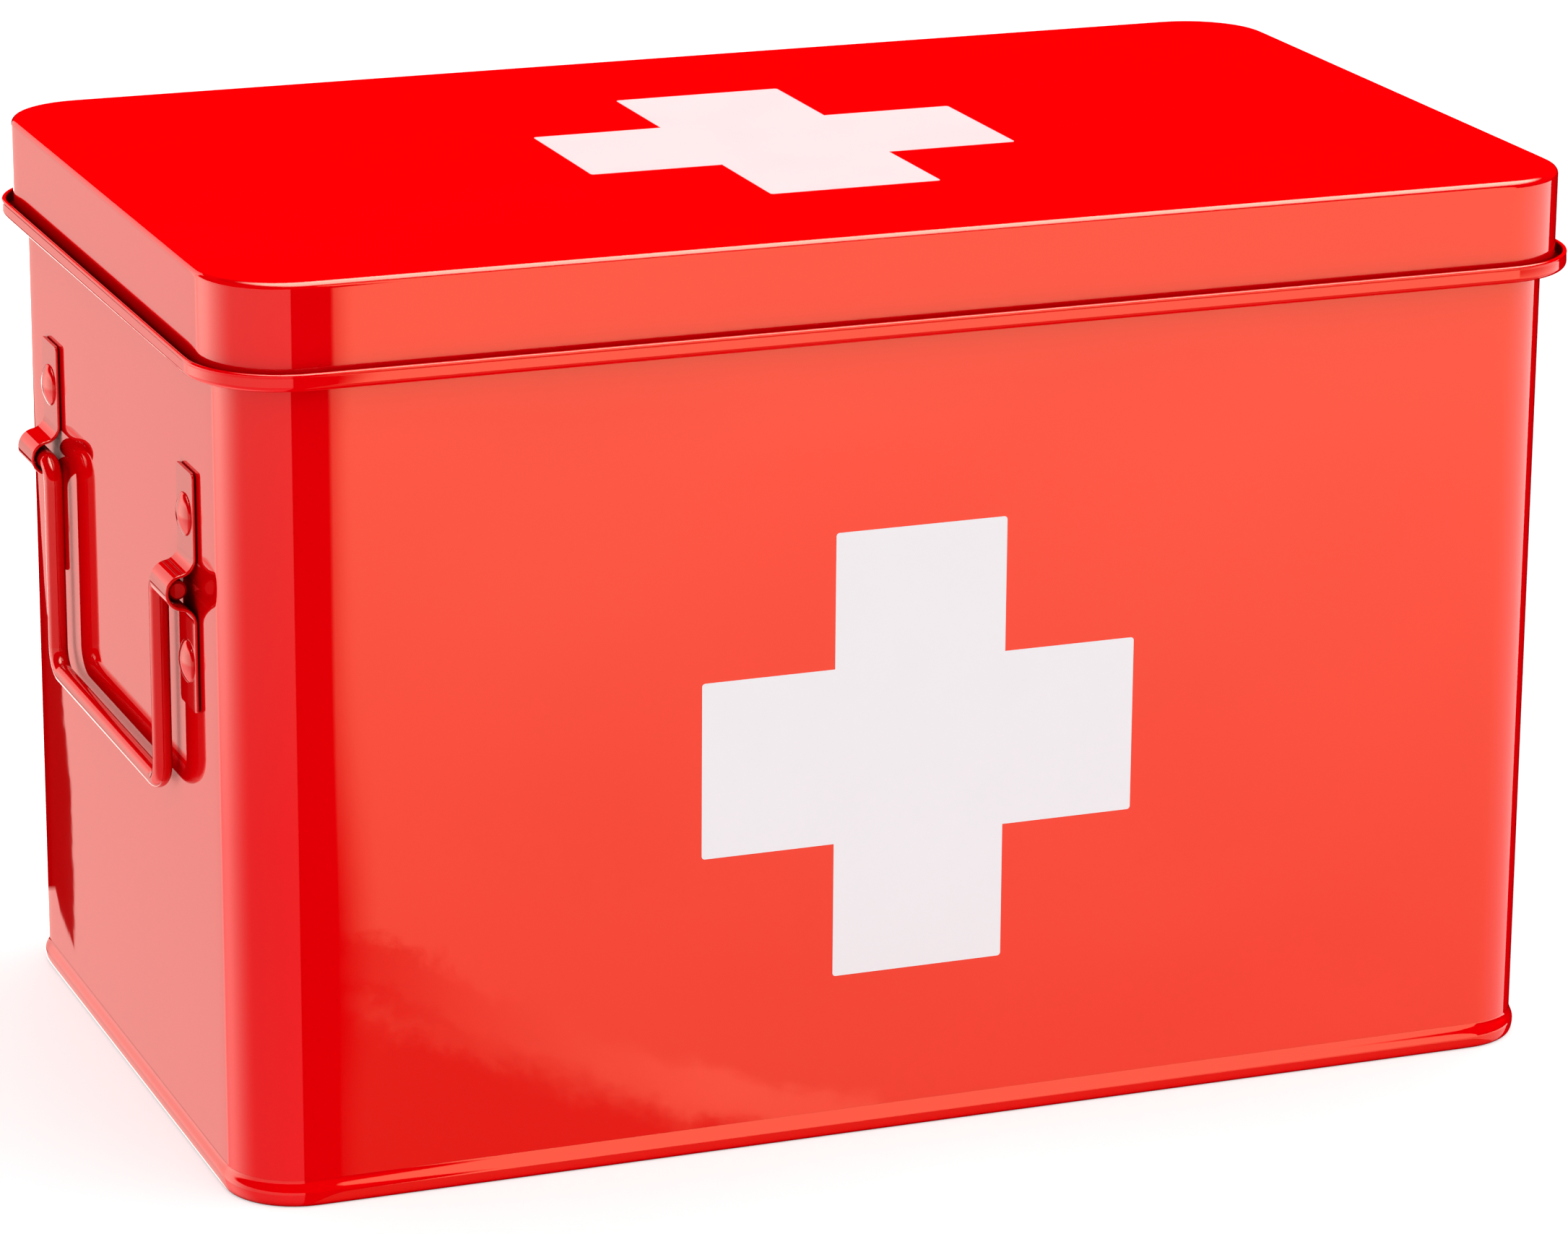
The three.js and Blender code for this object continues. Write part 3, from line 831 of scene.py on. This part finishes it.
def reflected_studio(tree, way, x, y, z):
    """What gloss shows: the two screens, the pale table behind, the soft box overhead, and a
    red glow above the horizon all round. It is dark in front, between the screens, and behind
    the tin to the right."""
    from_left = product(tree, x, -1.0)
    from_front = product(tree, y, -1.0)
    turn = maths(tree, "DEGREES", maths(tree, "ARCTAN2", from_left, from_front))
    back_turn = maths(tree, "DEGREES", maths(tree, "ARCTAN2", x, y))
    height = maths(tree, "DEGREES", maths(tree, "ARCSINE", z))
    ripple = maths(tree, "SUBTRACT", noise(tree, way, scale=110.0, detail=6.0, roughness=0.7), 0.5)
    broad_ripple = maths(tree, "SUBTRACT", noise(tree, way, scale=90.0, detail=3.0), 0.5)
    table = band(tree, back_turn, TABLE_FROM, TABLE_TO, 4.0)
    table_up = remap(tree, height, -13.0, -12.0, 1.0, 0.0)
    parts = [
        front_screen(tree, turn, height, ripple),
        *left_screen(tree, back_turn, height, broad_ripple),
        glow(tree, (3.6, 3.6, 3.4), table, table_up),
        soft_box(tree, way),
        glow(tree, (1.9, 0.0, 0.0), band(tree, height, 2.0, 45.0, 4.0)),
    ]
    total = parts[0]
    for part in parts[1:]:
        total = node(tree, "ShaderNodeAddShader", {0: total, 1: part}).outputs[0]
    return total


def lighting_studio(tree, x, y, z):
    """What lights the surfaces: one soft light from all round, strongest from above, weaker
    from the left than the right, and a little stronger from the front."""
    lean = maths(tree, "ADD", product(tree, x, LIGHT_RIGHT), product(tree, y, LIGHT_BACK))
    level = maths(tree, "ADD", product(tree, z, LIGHT_ABOVE), lean)
    level = maths(tree, "ADD", level, LIGHT_EVEN)
    return glow(tree, (1.0, 1.0, 1.0), maths(tree, "MAXIMUM", level, LIGHT_LEAST))


def studio():
    """The world: white to the camera, the reflected studio to gloss, and the soft light to
    everything else."""
    world = bpy.data.worlds.new("studio")
    bpy.context.scene.world = world
    world.use_nodes = True
    world.cycles.sampling_method = "NONE"
    tree = world.node_tree
    way = node(tree, "ShaderNodeTexCoord").outputs["Generated"]
    x, y, z = node(tree, "ShaderNodeSeparateXYZ", {"Vector": way}).outputs
    rays = node(tree, "ShaderNodeLightPath").outputs
    lit = lighting_studio(tree, x, y, z)
    seen = reflected_studio(tree, way, x, y, z)
    white = glow(tree, (1.0, 1.0, 1.0), 1.0)
    inputs = {0: rays["Is Glossy Ray"], 1: lit, 2: seen}
    surfaces = node(tree, "ShaderNodeMixShader", inputs).outputs[0]
    inputs = {0: rays["Is Camera Ray"], 1: surfaces, 2: white}
    whole = node(tree, "ShaderNodeMixShader", inputs).outputs[0]
    tree.links.new(whole, tree.nodes["World Output"].inputs["Surface"])


def camera():
    """The photograph's view: from the front left, a little above."""
    turn, rise, roll = (math.radians(a) for a in (CAMERA_TURN, CAMERA_RISE, CAMERA_ROLL))
    flat = math.cos(rise)
    back = Vector((math.sin(turn) * flat, -math.cos(turn) * flat, math.sin(rise)))
    data = bpy.data.cameras.new("camera")
    data.lens = CAMERA_LENS
    data.sensor_width = 36.0
    data.clip_end = 50.0
    item = bpy.data.objects.new("camera", data)
    item.location = CAMERA_TARGET + back * CAMERA_DISTANCE
    item.rotation_mode = "QUATERNION"
    level = (-back).to_track_quat("-Z", "Y").to_matrix()
    item.rotation_quaternion = (level @ Matrix.Rotation(roll, 3, "Z")).to_quaternion()
    bpy.context.scene.collection.objects.link(item)
    bpy.context.scene.camera = item


pale_floor()
studio()
camera()
bpy.context.scene.view_settings.view_transform = "Standard"
